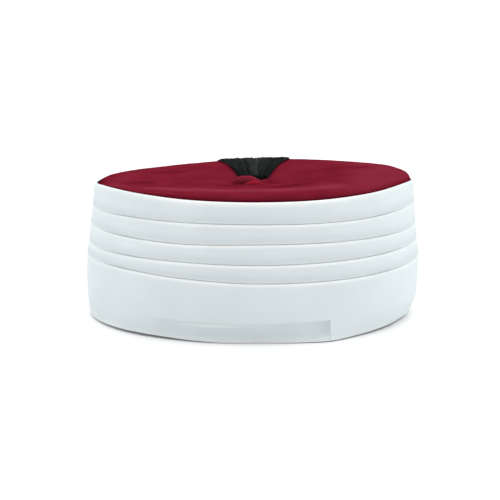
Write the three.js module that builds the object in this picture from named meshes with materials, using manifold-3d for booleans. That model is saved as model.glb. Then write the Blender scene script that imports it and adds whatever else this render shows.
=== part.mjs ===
// A fez with a white wrap: a round felt cap, five wound turns of folded white cloth and a dark silk tassel.
// Millimetres, +Z up, the front of the hat toward -Y. The origin is the middle of the rim that it stands on.
// Directions round the hat are in degrees from the front, positive toward the right (+X); 180 is the back.
import * as THREE from "three";
import { mergeVertices } from "three/addons/utils/BufferGeometryUtils.js";
import Module from "manifold-3d";

const { MathUtils, Vector3 } = THREE;

// The felt cap.
const HEAD_GIRTH = 580; // round the inside of the opening, hat size 58
const FELT = 2.5; // thickness of the felt
const FLARE = 1.6; // how much further out the wall stands at the crown than at the rim
const CAP_HEIGHT = 84.1; // from the rim to the highest ring of the crown
const SHOULDER = 3.8; // rounding between the wall and the crown
const CROWN_SINK = 4.5; // how far the stitching draws the middle of the crown down
const CROWN_RISE = 2.4; // how much higher than its middle the crown stands at its right side
const LIFT_START = 12; // the wall takes part in that rise from this far below the shoulder
const CREASE_DEPTH = 2; // the deepest crease in the crown
const CREASE_WIDTH = 9; // from the bottom of a crease to where it fades out
const NUB_HEIGHT = 4.2; // felt puckered up in front of the tassel's root
const NUB_WIDTH = 16;
const NUB_SET = 8.5; // the pucker's middle, in front of the crown's middle

// The wrap.
const RIM_STEP = 2.1; // the wrap's front edge lies about this far below the crown's highest ring
const CLOTH_FACE = 2; // a turn of folded cloth where it shows
const CLOTH_PLY = 1; // the same turn where later turns cover it
const FACE_BELLY = 0.2; // how far a turn swells between its crest and the next one
const CREST = 2.1; // height of a turn's rounded upper fold
const HEM_FOLD = 12.5; // height of the line where the lower band bends in to its hem
const HEM_TUCK = 5; // how far the hem can be drawn in under the band
const HEM_TURN = 1.6; // thickness of the hem, turned under toward the felt
const TAIL_RISE = 5.5; // the covered plies end this far above the hem's fold
const HAT_LEAN = 1.2; // how far the crown stands to the right of the rim
const GAP = 0.3; // air between neighbouring pieces

// The tassel.
const TASSEL_LENGTH = 124; // from its root over the crown and down the back
const LOCK_STAGGER = 5; // how much shorter the shortest lock is
const LOCK_COUNT = 7;
const LOCK_THICKNESS = 1.7;
const ROOT_WIDTH = 15;
const ROOT_DEPTH = 9;
const ROOT_HEIGHT = 4.4;
const FAN_WIDTH = 45; // across the locks at the back edge of the crown

const COLUMNS = 60; // facets round the hat
const ROOT_FACETS = 16;
const FULL_TURN = 360;

// How high each turn's crest stands round the hat, from the rim down, as a share of the wrap's height.
const CRESTS = [
  { toward: -180, turn1: 0.955, turn2: 0.832, turn3: 0.695, turn4: 0.561, band: 0.451 },
  { toward: -132, turn1: 0.968, turn2: 0.829, turn3: 0.69, turn4: 0.56, band: 0.459 },
  { toward: -90, turn1: 0.982, turn2: 0.827, turn3: 0.693, turn4: 0.559, band: 0.466 },
  { toward: -66, turn1: 1.012, turn2: 0.83, turn3: 0.694, turn4: 0.557, band: 0.466 },
  { toward: -42, turn1: 1.007, turn2: 0.833, turn3: 0.688, turn4: 0.559, band: 0.462 },
  { toward: -24, turn1: 0.997, turn2: 0.833, turn3: 0.684, turn4: 0.56, band: 0.448 },
  { toward: 0, turn1: 0.995, turn2: 0.834, turn3: 0.695, turn4: 0.554, band: 0.429 },
  { toward: 24, turn1: 1, turn2: 0.83, turn3: 0.693, turn4: 0.557, band: 0.427 },
  { toward: 42, turn1: 1.01, turn2: 0.835, turn3: 0.691, turn4: 0.562, band: 0.432 },
  { toward: 66, turn1: 1.029, turn2: 0.856, turn3: 0.694, turn4: 0.576, band: 0.449 },
  { toward: 90, turn1: 1.006, turn2: 0.854, turn3: 0.701, turn4: 0.579, band: 0.457 },
  { toward: 132, turn1: 0.982, turn2: 0.844, turn3: 0.7, turn4: 0.571, band: 0.454 },
  { toward: 180, turn1: 0.955, turn2: 0.832, turn3: 0.695, turn4: 0.561, band: 0.451 },
];

// The wound turns from the rim down: the piece's name and its column in the table of crests.
const TURNS = [
  { name: "wrap_turn_1", column: "turn1" },
  { name: "wrap_turn_2", column: "turn2" },
  { name: "wrap_turn_3", column: "turn3" },
  { name: "wrap_turn_4", column: "turn4" },
  { name: "wrap_lower_band", column: "band" },
];

// The fold at a turn's crest, from its inside to its outside, in shares of CLOTH_FACE out and CREST down.
const CREST_FORM = [
  { out: 0, down: 1 },
  { out: 0.3, down: 0.05 },
  { out: 0.8, down: 0.2 },
  { out: 1, down: 1 },
];

// How far the hem is tucked in, as a share of HEM_TUCK. It is flat at the front and has a corner at 24 degrees.
const HEM = [
  { toward: -180, tuck: 0.46 },
  { toward: -132, tuck: 0.38 },
  { toward: -90, tuck: 0.26 },
  { toward: -48, tuck: 0.12 },
  { toward: -36, tuck: 0.36 },
  { toward: -12, tuck: 0.5 },
  { toward: 0, tuck: 0.82 },
  { toward: 6, tuck: 0.74 },
  { toward: 18, tuck: 0 },
  { toward: 24, tuck: -0.46 },
  { toward: 30, tuck: -0.14 },
  { toward: 36, tuck: 0.28 },
  { toward: 48, tuck: 0.78 },
  { toward: 66, tuck: 1.3 },
  { toward: 90, tuck: 0.86 },
  { toward: 132, tuck: 0.56 },
  { toward: 180, tuck: 0.46 },
];

// Soft creases in the crown: direction, start and end as shares of the crown's radius, and depth as a share of
// CREASE_DEPTH. A negative depth is a ridge.
const CREASES = [
  { toward: 84, start: 0.16, end: 0.48, depth: 0.7 },
  { toward: 104, start: 0.52, end: 0.74, depth: 0.5 },
  { toward: -64, start: 0.64, end: 0.86, depth: 0.6 },
  { toward: -98, start: 0.42, end: 0.66, depth: 0.5 },
  { toward: -30, start: 0.36, end: 0.58, depth: -0.4 },
  { toward: 40, start: 0.46, end: 0.74, depth: -0.4 },
  { toward: 138, start: 0.4, end: 0.7, depth: 0.4 },
  { toward: -136, start: 0.4, end: 0.7, depth: 0.5 },
];

// Where the crown's section is taken, in shares of its radius, and how far round its shoulder, in degrees.
const CROWN_STATIONS = [0, 0.045, 0.09, 0.135, 0.2, 0.3, 0.42, 0.55, 0.68, 0.82, 0.92];
const SHOULDER_STATIONS = [90, 55, 25, 0];
const HIGH_RING = 0.68; // the crown is highest at this share of its radius
const CREASE_END = 0.85; // the creases start to fade at this share of the way out to the shoulder

// The root's section, from the middle of its seat to its top, in shares of its half width and height.
const ROOT_FORM = [
  { out: 0, up: 0 },
  { out: 0.92, up: 0 },
  { out: 1, up: 0.3 },
  { out: 0.72, up: 0.8 },
  { out: 0, up: 1 },
];

// A lock's section, from its left edge over its top, in shares of its width and thickness.
const LOCK_FORM = [
  { aside: -0.5, up: 0.4 },
  { aside: -0.3, up: 1 },
  { aside: 0.3, up: 1 },
  { aside: 0.5, up: 0.4 },
  { aside: 0.3, up: 0 },
  { aside: -0.3, up: 0 },
];
const LOCK_OVERLAP = 1.35; // a lock's width as a share of the distance between locks
const LOW_LOCK = 0.85; // every second lock's thickness as a share of its neighbours'
const THICK_START = 0.8; // a lock's thickness where it leaves the root, as a share of the root's height
const THICK_END = 0.5; // share of the way over the crown where a lock has thinned down
const STAGGER_STEPS = 5; // different lengths among the locks
const STAGGER_STRIDE = 3; // steps from one lock's length to the next one's
const LOCK_STATIONS = [0, 0.2, 0.4, 0.62, 0.84, 0.97]; // shares of the way from the root to the crown's edge

const MOUTH_RADIUS = HEAD_GIRTH / (2 * Math.PI);
const RIM_RADIUS = MOUTH_RADIUS + FELT;
const CROWN_RADIUS = RIM_RADIUS + FLARE;
const CROWN_EDGE = CROWN_RADIUS - SHOULDER;
const SHOULDER_START = CAP_HEIGHT - SHOULDER;
const WRAP_HEIGHT = CAP_HEIGHT - RIM_STEP;
const TAIL_HEIGHT = HEM_FOLD + TAIL_RISE;
const PLY_STEP = CLOTH_PLY + GAP; // each later turn lies this much further out
const LAST_TURN = TURNS.length - 1;
const ROOT_SET = NUB_WIDTH / 2 - NUB_SET + ROOT_DEPTH / 2; // the root lies just behind the pucker

const sinOf = (degrees) => Math.sin(MathUtils.degToRad(degrees));
const cosOf = (degrees) => Math.cos(MathUtils.degToRad(degrees));
const gauss = (distance, width) => Math.exp(-((distance / width) ** 2));

// A direction brought into the range from -180 to 180 degrees.
const wrapped = (degrees) => MathUtils.euclideanModulo(degrees + FULL_TURN / 2, FULL_TURN) - FULL_TURN / 2;

// The way from a to b, as a share.
const wayBetween = (here, a, b) => MathUtils.inverseLerp(a, b, here);

// A point of the hat from its direction, radius and height. The whole hat leans a little to the right.
function place(toward, radius, height) {
  const lean = (HAT_LEAN * height) / CAP_HEIGHT;
  return new Vector3(radius * sinOf(toward) + lean, -radius * cosOf(toward), height);
}

// A column of a table, read in a direction between two of its rows. Blend turns the way between them to a share.
function readTable(table, column, toward, blend) {
  const here = wrapped(toward);
  const next = table.findIndex((row, i) => i > 0 && here <= row.toward);
  const [a, b] = [table[next - 1], table[next]];
  return MathUtils.lerp(a[column], b[column], blend(here, a.toward, b.toward));
}

// The height of a turn's crest, which rises and dips softly round the hat.
function crestHeight(turn, toward) {
  return WRAP_HEIGHT * readTable(CRESTS, TURNS[turn].column, toward, MathUtils.smoothstep);
}

// The felt's wall before the hem presses on it, and the inside and outside of a turn where it shows.
const plainWall = (height) => MathUtils.mapLinear(height, 0, SHOULDER_START, RIM_RADIUS, CROWN_RADIUS);
const turnInside = (turn, height) => plainWall(height) + GAP + turn * PLY_STEP;
const turnOutside = (turn, height) => turnInside(turn, height) + CLOTH_FACE;

// The outside of the hem, tucked in straight from one row of its table to the next.
function hemRadius(toward) {
  return turnOutside(LAST_TURN, 0) - HEM_TUCK * readTable(HEM, "tuck", toward, wayBetween);
}

// The outside of the felt's wall. Near the rim it gives way where the hem is tucked in further than the wall.
function feltWall(toward, height) {
  const room = hemRadius(toward) - HEM_TURN - GAP;
  const dent = Math.max(0, plainWall(0) - room);
  return plainWall(height) - dent * (1 - MathUtils.smoothstep(height, 0, TAIL_HEIGHT));
}

// How much the crown's slope lifts the felt at a radius and height.
function crownLift(toward, radius, height) {
  const share = MathUtils.smoothstep(height, SHOULDER_START - LIFT_START, CAP_HEIGHT - CROWN_SINK);
  return (CROWN_RISE * share * sinOf(toward) * radius) / CROWN_RADIUS;
}

// How deep the creases are at a point of the crown.
function creaseDepth(toward, radius) {
  return CREASES.reduce((sum, crease) => {
    const aside = radius * sinOf(toward - crease.toward);
    const along = radius * cosOf(toward - crease.toward);
    const beyond = along - MathUtils.clamp(along, crease.start * CROWN_RADIUS, crease.end * CROWN_RADIUS);
    return sum + CREASE_DEPTH * crease.depth * gauss(Math.hypot(aside, beyond), CREASE_WIDTH);
  }, 0);
}

// The height of the crown's outside: a high ring round a sunken middle, creased, with the pucker at the front.
function crownHeight(toward, radius) {
  const share = Math.min(1, radius / (HIGH_RING * CROWN_RADIUS));
  const sink = (CROWN_SINK * (1 + Math.cos(Math.PI * share))) / 2;
  const aside = radius * sinOf(toward);
  const ahead = radius * cosOf(toward) - NUB_SET;
  const nub = NUB_HEIGHT * gauss(aside, NUB_WIDTH / 2) * gauss(ahead, NUB_WIDTH / 4);
  const fade = 1 - MathUtils.smoothstep(radius, CREASE_END * CROWN_EDGE, CROWN_EDGE);
  const level = CAP_HEIGHT - sink - creaseDepth(toward, radius) * fade + nub;
  return level + crownLift(toward, radius, level);
}

// A point round the shoulder, which has the given radius, from its edge on the crown down to the wall.
function shoulderPoint(toward, radius, angle) {
  const out = CROWN_RADIUS - SHOULDER + radius * cosOf(angle);
  const height = SHOULDER_START + radius * sinOf(angle);
  return [out, height + crownLift(toward, out, height)];
}

// The felt's section in one direction, from the middle of the crown's outside round to the middle of its inside.
function feltSection(toward) {
  const crown = CROWN_STATIONS.map((share) => share * CROWN_RADIUS).filter((radius) => radius < CROWN_EDGE);
  const wall = [TAIL_HEIGHT, TAIL_HEIGHT / 4, 0];
  return [
    ...crown.map((radius) => [radius, crownHeight(toward, radius)]),
    ...SHOULDER_STATIONS.map((angle) => shoulderPoint(toward, SHOULDER, angle)),
    ...wall.map((height) => [feltWall(toward, height), height]),
    ...wall.map((height) => [feltWall(toward, height) - FELT, height]).reverse(),
    ...SHOULDER_STATIONS.map((angle) => shoulderPoint(toward, SHOULDER - FELT, angle)).reverse(),
    ...crown
      .filter((radius, i) => i % 2 === 0)
      .map((radius) => [radius, crownHeight(toward, radius) - FELT])
      .reverse(),
  ];
}

// The rounded upper fold of a turn.
function crestSection(turn, toward) {
  const top = crestHeight(turn, toward);
  return CREST_FORM.map(({ out, down }) => {
    const height = top - down * CREST;
    return [turnInside(turn, height) + out * CLOTH_FACE, height];
  });
}

// A turn that the next one covers: crest, swelling face, neck behind the next crest, and the covered ply.
function turnSection(turn, toward) {
  const next = crestHeight(turn + 1, toward);
  const middle = (crestHeight(turn, toward) + next) / 2;
  const neck = next + GAP;
  return [
    ...crestSection(turn, toward),
    [turnOutside(turn, middle) + FACE_BELLY, middle],
    [turnOutside(turn, neck + CREST), neck + CREST],
    [turnInside(turn, neck) + CLOTH_PLY, neck],
    [turnInside(turn, TAIL_HEIGHT) + CLOTH_PLY, TAIL_HEIGHT],
    [turnInside(turn, TAIL_HEIGHT), TAIL_HEIGHT],
  ];
}

// The lower band: crest, plain face, fold line, and the hem tucked in and turned under to the felt.
function bandSection(toward) {
  const middle = (crestHeight(LAST_TURN, toward) + HEM_FOLD) / 2;
  const fold = turnOutside(LAST_TURN, HEM_FOLD);
  const hem = hemRadius(toward);
  const bend = HEM_FOLD / 2;
  const bow = (fold + hem) / 2;
  const inner = feltWall(toward, 0) + GAP;
  return [
    ...crestSection(LAST_TURN, toward),
    [turnOutside(LAST_TURN, middle) + FACE_BELLY, middle],
    [fold, HEM_FOLD],
    [bow, bend],
    [hem, HEM_TURN / 2],
    [hem - HEM_TURN / 2, 0],
    [inner, 0],
    [inner, HEM_TURN],
    [Math.max(bow - CLOTH_FACE, feltWall(toward, bend) + GAP), bend],
    [fold - CLOTH_FACE, HEM_FOLD],
    [turnInside(LAST_TURN, TAIL_HEIGHT), TAIL_HEIGHT],
  ];
}

// The skin over rows of points. Each row is a closed loop, and the last row joins the first or both are capped.
function skinOver(rows, capped) {
  const size = rows[0].length;
  const end = (rows.length - 1) * size;
  const faces = [];
  rows.forEach((row, k) => {
    if (capped && k === rows.length - 1) return;
    const here = k * size;
    const there = ((k + 1) % rows.length) * size;
    row.forEach((point, i) => {
      const j = (i + 1) % size;
      faces.push([here + i, here + j, there + j], [here + i, there + j, there + i]);
    });
  });
  for (let i = 1; capped && i < size - 1; i += 1) {
    faces.push([0, i + 1, i], [end, end + i, end + i + 1]);
  }
  const skin = new THREE.BufferGeometry().setFromPoints(rows.flat());
  skin.setIndex(faces.flat());
  return withoutSlivers(mergeVertices(skin));
}

// The geometry without the faces that merging has closed up.
function withoutSlivers(geometry) {
  const index = geometry.getIndex().array;
  const kept = [];
  for (let i = 0; i < index.length; i += 3) {
    const [a, b, c] = index.slice(i, i + 3);
    if (a !== b && b !== c && c !== a) kept.push(a, b, c);
  }
  return geometry.setIndex(kept);
}

// A piece that goes right round the hat, from its section in each direction.
function roundTheHat(sectionAt) {
  const directions = Array.from({ length: COLUMNS }, (_, k) => (FULL_TURN * k) / COLUMNS);
  return skinOver(
    directions.map((toward) => sectionAt(toward).map(([radius, height]) => place(toward, radius, height))),
    false,
  );
}

// The line under a lock, as points: back over the crown, across the rim and down the turns of the wrap.
// Side is the lock's place in the fan, from -1 at the left to 1 at the right.
function lockLine(side) {
  const rootHalf = (ROOT_WIDTH / 2) * (1 - 1 / LOCK_COUNT);
  const fanHalf = (FAN_WIDTH / 2) * (1 - 1 / LOCK_COUNT);
  const edgeY = Math.sqrt(CROWN_EDGE ** 2 - fanHalf ** 2 * side ** 2);
  const rear = MathUtils.radToDeg(Math.atan2(side * fanHalf, -edgeY));
  const clear = 2 * GAP;
  const overCrown = LOCK_STATIONS.map((share) => {
    const x = side * MathUtils.lerp(rootHalf, fanHalf, share);
    const y = MathUtils.lerp(ROOT_SET, edgeY, share);
    const toward = MathUtils.radToDeg(Math.atan2(x, -y));
    const radius = Math.hypot(x, y);
    return place(toward, radius, crownHeight(toward, radius) + clear);
  });
  const overShoulder = SHOULDER_STATIONS.slice(1, -1).map((angle) => {
    const [out, height] = shoulderPoint(rear, SHOULDER + clear, angle);
    return place(rear, out, height);
  });
  const downTheWrap = TURNS.flatMap((row, turn) => {
    const top = crestHeight(turn, rear);
    const next = turn < LAST_TURN ? crestHeight(turn + 1, rear) : HEM_FOLD;
    const middle = (top + next) / 2;
    return [
      place(rear, turnOutside(turn, top) + clear, top - CREST / 4),
      place(rear, turnOutside(turn, middle) + FACE_BELLY + clear, middle),
    ];
  });
  const rim = crestHeight(0, rear);
  const overRim = place(rear, turnInside(0, rim) + CLOTH_FACE / 2, rim + clear);
  return [...overCrown, ...overShoulder, overRim, ...downTheWrap];
}

// A line of points cut off at a length along it.
function cutLine(points, length) {
  const kept = [points[0]];
  let left = length;
  for (let i = 1; i < points.length && left > 0; i += 1) {
    const step = points[i].distanceTo(points[i - 1]);
    kept.push(points[i - 1].clone().lerp(points[i], Math.min(1, left / step)));
    left -= step;
  }
  return kept;
}

// One lock of the tassel: a flat strip that widens from the root to the fan.
function lock(number) {
  const side = MathUtils.mapLinear(number, 0, LOCK_COUNT - 1, -1, 1);
  const step = (number * STAGGER_STRIDE) % STAGGER_STEPS;
  const shorter = (LOCK_STAGGER * step) / (STAGGER_STEPS - 1);
  const line = cutLine(lockLine(side), TASSEL_LENGTH - shorter);
  const fanStart = LOCK_STATIONS.length - 1;
  const heading = line[fanStart].clone().sub(line[0]).setZ(0).normalize();
  const aside = new Vector3(heading.y, -heading.x, 0);
  const fullness = number % 2 === 0 ? 1 : LOW_LOCK;
  const rows = line.map((point, k) => {
    const before = line[Math.max(0, k - 1)];
    const after = line[Math.min(line.length - 1, k + 1)];
    const along = after.clone().sub(before).normalize();
    const up = new Vector3().crossVectors(aside, along);
    const spread = Math.min(1, k / fanStart);
    const width = (LOCK_OVERLAP * MathUtils.lerp(ROOT_WIDTH, FAN_WIDTH, spread)) / LOCK_COUNT;
    const thinned = Math.min(1, spread / THICK_END);
    const thick = MathUtils.lerp(THICK_START * ROOT_HEIGHT, LOCK_THICKNESS, thinned) * fullness;
    return LOCK_FORM.map((corner) =>
      point
        .clone()
        .addScaledVector(aside, corner.aside * width)
        .addScaledVector(up, corner.up * thick),
    );
  });
  return skinOver(rows, true);
}

// The domed root where the tassel is sewn to the crown.
function tasselRoot() {
  const profile = ROOT_FORM.map(({ out, up }) => new THREE.Vector2(out, up));
  const root = new THREE.LatheGeometry(profile, ROOT_FACETS);
  root.rotateX(Math.PI / 2);
  root.scale(ROOT_WIDTH / 2, ROOT_DEPTH / 2, ROOT_HEIGHT);
  const seat = crownHeight(180, ROOT_SET) + GAP;
  root.translate(place(0, 0, seat).x, ROOT_SET, seat);
  root.deleteAttribute("normal");
  root.deleteAttribute("uv");
  return withoutSlivers(mergeVertices(root));
}

const manifold = await Module();
manifold.setup();

// Several closed shapes joined into one.
function joined(shapes) {
  const solids = shapes.map((shape) => {
    const mesh = new manifold.Mesh({
      numProp: 3,
      vertProperties: new Float32Array(shape.getAttribute("position").array),
      triVerts: new Uint32Array(shape.getIndex().array),
    });
    return new manifold.Manifold(mesh);
  });
  const whole = solids.reduce((sum, solid) => sum.add(solid)).getMesh();
  const geometry = new THREE.BufferGeometry();
  geometry.setAttribute("position", new THREE.BufferAttribute(whole.vertProperties, 3));
  geometry.setIndex(new THREE.BufferAttribute(whole.triVerts, 1));
  return geometry;
}

const redFelt = { color: 0x7d1c2d, roughness: 0.95, metalness: 0 };
const whiteCloth = { color: 0xdfe6e8, roughness: 0.9, metalness: 0 };
const darkSilk = { color: 0x272c2a, roughness: 0.5, metalness: 0 };

const fez = new THREE.Group();

function addPiece(name, geometry, finish) {
  const piece = new THREE.Mesh(geometry, new THREE.MeshStandardMaterial(finish));
  piece.name = name;
  fez.add(piece);
}

addPiece("felt_cap", roundTheHat(feltSection), redFelt);
TURNS.forEach(({ name }, turn) => {
  const sectionAt = (toward) => (turn < LAST_TURN ? turnSection(turn, toward) : bandSection(toward));
  addPiece(name, roundTheHat(sectionAt), whiteCloth);
});
const locks = Array.from({ length: LOCK_COUNT }, (_, number) => lock(number));
addPiece("tassel", joined([tasselRoot(), ...locks]), darkSilk);

export default fez;
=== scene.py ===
"""The looks of a fez with a wound white wrap and a silk tassel.

Lengths are millimetres until a mesh is made, and heights stand on the floor. Directions round the hat are in
degrees from the front (-Y), positive toward the right (+X), so that 180 is the back.
"""

import bmesh
import bpy
import numpy as np
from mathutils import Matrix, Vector, noise


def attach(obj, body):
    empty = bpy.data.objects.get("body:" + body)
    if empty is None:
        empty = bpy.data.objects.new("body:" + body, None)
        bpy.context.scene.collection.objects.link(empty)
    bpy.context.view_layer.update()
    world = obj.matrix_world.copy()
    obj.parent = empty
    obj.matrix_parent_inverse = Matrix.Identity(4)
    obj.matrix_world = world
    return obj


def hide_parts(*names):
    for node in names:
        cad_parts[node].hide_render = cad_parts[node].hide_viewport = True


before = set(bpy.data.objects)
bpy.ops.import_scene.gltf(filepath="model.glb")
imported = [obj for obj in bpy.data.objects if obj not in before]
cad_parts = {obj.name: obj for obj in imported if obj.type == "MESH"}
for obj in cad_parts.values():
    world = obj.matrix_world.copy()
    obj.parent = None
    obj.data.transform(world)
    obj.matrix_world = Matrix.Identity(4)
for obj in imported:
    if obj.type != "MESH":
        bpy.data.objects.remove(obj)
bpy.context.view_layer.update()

MM = 0.001

# The felt cap.
HEAD_GIRTH = 580  # round the inside of the opening
FELT = 2.5  # its thickness
FLARE = 1.6  # how much further out its wall is at the shoulder than at the rim
CAP_HEIGHT = 84.1
SHOULDER = 3.8  # its rounding
CROWN_SINK = 4.5  # how far the crown's middle lies below its high ring
CROWN_RISE = 2.4  # how much higher the crown is at the right, and lower at the left
BACK_FALL = 0.7  # how much lower it is at the back
FALL_RANGE = (0.2, 0.9)  # where it falls, as shares of its radius behind the middle
DIP_TOWARD = -138  # it is lower by as much again toward here
DIP_SPREAD = 22
DIP_RANGE = (0.6, 0.9)  # where it dips, as shares of its radius
LIFT_START = 12  # the rise and the fall fade in from this far below the shoulder
CREASE_DEPTH = 2
CREASE_WIDTH = 9
STREAK_DEPTH = 0.5
NUB_WIDTH = 16  # the puckered felt before the tassel
NUB_SET = 8.5  # how far ahead of the hat's middle it is
HIGH_RING = 0.68  # where the crown is highest, as a share of its radius
CREASE_END = 0.85  # creases fade out from here to the crown's edge
HAT_LEAN = 1.2  # how far the top stands to the right
CUT_ROUND = 0.7  # rounding of the felt's cut edge
FINE_MIDDLE = 26  # the crown is drawn in closer rings inside this radius
CALM_MIDDLE = (2, 20)  # the felt's lumps fade in between these radii
FELT_LUMPS = [dict(rise=0.3, size=(26, 20, 20), seed=1), dict(rise=0.1, size=(7, 6, 6), seed=2)]

# The wrap.
RIM_STEP = 2.1  # how far its top lies below the cap's
CLOTH_FACE = 2  # thickness of a turn where it shows
CLOTH_PLY = 1  # and where it is covered
FACE_BELLY = 0.7  # how far a turn's face swells out in front
BELLY_LOW = 1.25  # a power: the face swells most below its middle
BAND_BELLY = 0.4  # how far the lower band swells, as a share of a turn
SIDE_LEAN = 1.2  # how far a turn leans out over the next crest at the sides instead
SIDES = (0.72, 0.97)  # the sides begin and are full at these sines of the direction
CREST = 2.3  # height of the rounded fold at a turn's top
CREST_PEAK = 0.3  # where the top of a crest is, as a share of the cloth's thickness from its inside
COVERED_PEAK = 0.85  # where it is under a face that leans out
COVERED_LOSS = 0.6  # how much flatter a crest is there
HEM_FOLD = 12.5  # height of the lower band's fold line
HEM_TUCK = 5  # how far it is tucked in where its share is 1
HEM_TURN = 1.6  # thickness of the hem where it is turned under
TAIL_RISE = 5.5  # how far above the fold line the covered plies end
GAP = 0.3  # between two pieces
CURL_ABOVE = 4  # a turn's face starts to curl in this far above the next crest
CURL_BELOW = 0.5  # and ends its curl this far below it
CURL_POWER = 4.5  # how suddenly it curls in
SIDE_CURL_POWER = 14.5  # and how much more suddenly at the sides
STRIP_LEFT = -33  # the hem's inner ply shows from here
STRIP_RIGHT = 26  # to the corner of the outer one
STRIP_STEP = 0.6  # how far the inner ply is set back
STRIP_FADE = 4  # the inner ply comes into sight over this many degrees to each side of its left end
CORNER_FADE = 0.6  # and ends over this many at the corner
STEP_RANGE = (0.3, -0.5)  # the step begins and is full this far above the fold line
EDGE_ROUND = 0.25  # rounding of the hem's lower edge
HEM_BEND = 0.9  # a power: the hem bends in a little more toward its edge
SKIRT_SPACING = 1.4  # a power: the hem's points stand closer toward the fold line
# Its rise is a real ridge; its tone is a painted highlight along it.
PRESSED_RIDGE = dict(below=2, width=0.8, toward=-13, spread=8, rise=0.3, tone=0.5)
SHARED_RIPPLE = dict(rise=0.25, size=(60, 60, 45), seed=3)
OWN_RIPPLES = [dict(rise=0.16, size=(34, 34, 7), seed=5), dict(rise=0.05, size=(9, 9, 4), seed=11)]
RIPPLE_START = 0.6  # a turn's own ripples fade in from this share of its thickness to its face

# The tassel.
TASSEL_LENGTH = 124
LOCK_STAGGER = 5  # how much the locks differ in length
STAGGER_STEP = 3  # every lock's cut is this many stages from the one before
STAGGER_STAGES = 5
LOCK_COUNT = 7
LOCK_THICKNESS = 1.7
LOCK_EDGE = 0.4  # how thick a lock is at its edges, as a share of its middle
ROOT_WIDTH = 15
ROOT_DEPTH = 9
ROOT_HEIGHT = 4.4
ROOT_DOME = 0.8  # a power: the root's dome is a little fuller than a ball
RIB_RISE = 0.03  # height of its ribs, as a share of its radius
RIB_WAVES = 18  # each makes two ribs
FAN_WIDTH = 45  # the locks together at the crown's edge
FAN_POWER = 1.2  # the fan widens a little more slowly near the root
LOCK_OVERLAP = 1.35
THICK_START = 0.8  # thickness of a lock by the root, as a share of the root's height
THICK_END = 0.5  # where a lock is down to its own thickness, as a share of the way to the crown's edge
STRANDS_IN_LOCK = 62
STRAND_SEED = 7
STRAND = 0.44  # thickness of one strand
STRAND_POINTS = 40
STRAND_RANGE = (0.8, 1.1)  # the thinnest and thickest strand, as shares of it
TIP_START = 0.93  # where a strand begins to taper, as a share of its length
TIP_LOSS = 0.6
LOOSE_END = 3  # how much the strands of one lock differ in length
WAVES_ASIDE = [dict(reach=0.35, turns=9), dict(reach=0.2, turns=23)]
WAVE_UP = dict(reach=0.12, turns=17)
ASIDE_RANGE = (0.02, 0.4)  # strands begin to wave aside and wave in full at these shares of their length
UP_RANGE = (0, 0.2)
SHEEN_AT = 0.1  # the painted sheen is brightest on these strands, by their place across the fan
SHEEN_WIDTH = 0.22
DULL_SIDES = 0.25  # how bright the painted sheen leaves the fan at its sides, as a share of its full sheen
DULL_ROOT = 0.35  # and how bright its dull strands are by the root, where the painted sheen stands out more
ROOT_RANGE = (0.1, 0.4)  # the painted sheen's stronger contrast by the root ends between these shares of their length

COLUMNS = 600  # directions that the round pieces are drawn in
CORNER_COLUMNS = 13  # directions drawn close together at the hem's corner
CORNER_HALF = 0.9  # how far they reach to each side of it
CORNER_CLEAR = 1  # no other direction is this near to it
SEED_SHIFT = (17, 31, 47)  # how far off in the noise the relief of the next seed is read

MOUTH_RADIUS = HEAD_GIRTH / (2 * np.pi)
RIM_RADIUS = MOUTH_RADIUS + FELT
CROWN_RADIUS = RIM_RADIUS + FLARE
CROWN_EDGE = CROWN_RADIUS - SHOULDER
SHOULDER_START = CAP_HEIGHT - SHOULDER
WRAP_HEIGHT = CAP_HEIGHT - RIM_STEP
TAIL_HEIGHT = HEM_FOLD + TAIL_RISE
PLY_STEP = CLOTH_PLY + GAP
ROOT_SET = NUB_WIDTH / 2 - NUB_SET + ROOT_DEPTH / 2

# How high each crest of the wrap stands round the hat, as a share of the wrap's height.
CRESTS = {
    "toward": [-180, -132, -90, -66, -42, -24, 0, 24, 42, 66, 90, 132],
    "wrap_turn_1": [0.955, 0.968, 0.982, 1.012, 1.006, 0.993, 0.988, 0.993, 1.007, 1.029, 1.006, 0.982],
    "wrap_turn_2": [0.832, 0.829, 0.827, 0.83, 0.833, 0.833, 0.834, 0.83, 0.835, 0.856, 0.854, 0.844],
    "wrap_turn_3": [0.695, 0.69, 0.693, 0.694, 0.688, 0.684, 0.695, 0.693, 0.691, 0.694, 0.701, 0.7],
    "wrap_turn_4": [0.561, 0.56, 0.559, 0.557, 0.559, 0.56, 0.554, 0.557, 0.562, 0.576, 0.579, 0.571],
    "wrap_lower_band": [0.451, 0.459, 0.466, 0.466, 0.462, 0.448, 0.429, 0.427, 0.432, 0.449, 0.457, 0.454],
}
TURNS = list(CRESTS)[1:]

# How far the hem is tucked in, as a share of HEM_TUCK, and how far its edge hangs off the floor.
HEM = {
    "toward": [-180, -132, -90, -48, -36, -12, 0, 6, 18, 24, 30, 36, 48, 66, 90, 132],
    "tuck": [0.46, 0.38, 0.26, 0.12, 0.36, 0.5, 0.82, 0.74, 0, -0.46, -0.14, 0.28, 0.78, 1.3, 0.86, 0.56],
    "off_floor": [0.3, 0.5, 0.9, 1.8, 1.6, 0.3, 0.0, 0.1, 0.5, 0.6, 0.8, 1.0, 1.3, 1.1, 0.8, 0.4],
}

# Soft creases in the crown. Start and end are shares of its radius, and depth is a share of CREASE_DEPTH.
CREASES = [
    dict(toward=84, start=0.16, end=0.48, depth=0.7),
    dict(toward=104, start=0.52, end=0.74, depth=0.5),
    dict(toward=-64, start=0.64, end=0.86, depth=0.6),
    dict(toward=-98, start=0.42, end=0.66, depth=0.5),
    dict(toward=-30, start=0.36, end=0.58, depth=-0.4),
    dict(toward=40, start=0.46, end=0.74, depth=-0.4),
    dict(toward=138, start=0.4, end=0.7, depth=0.4),
    dict(toward=-136, start=0.4, end=0.7, depth=0.5),
]
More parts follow.
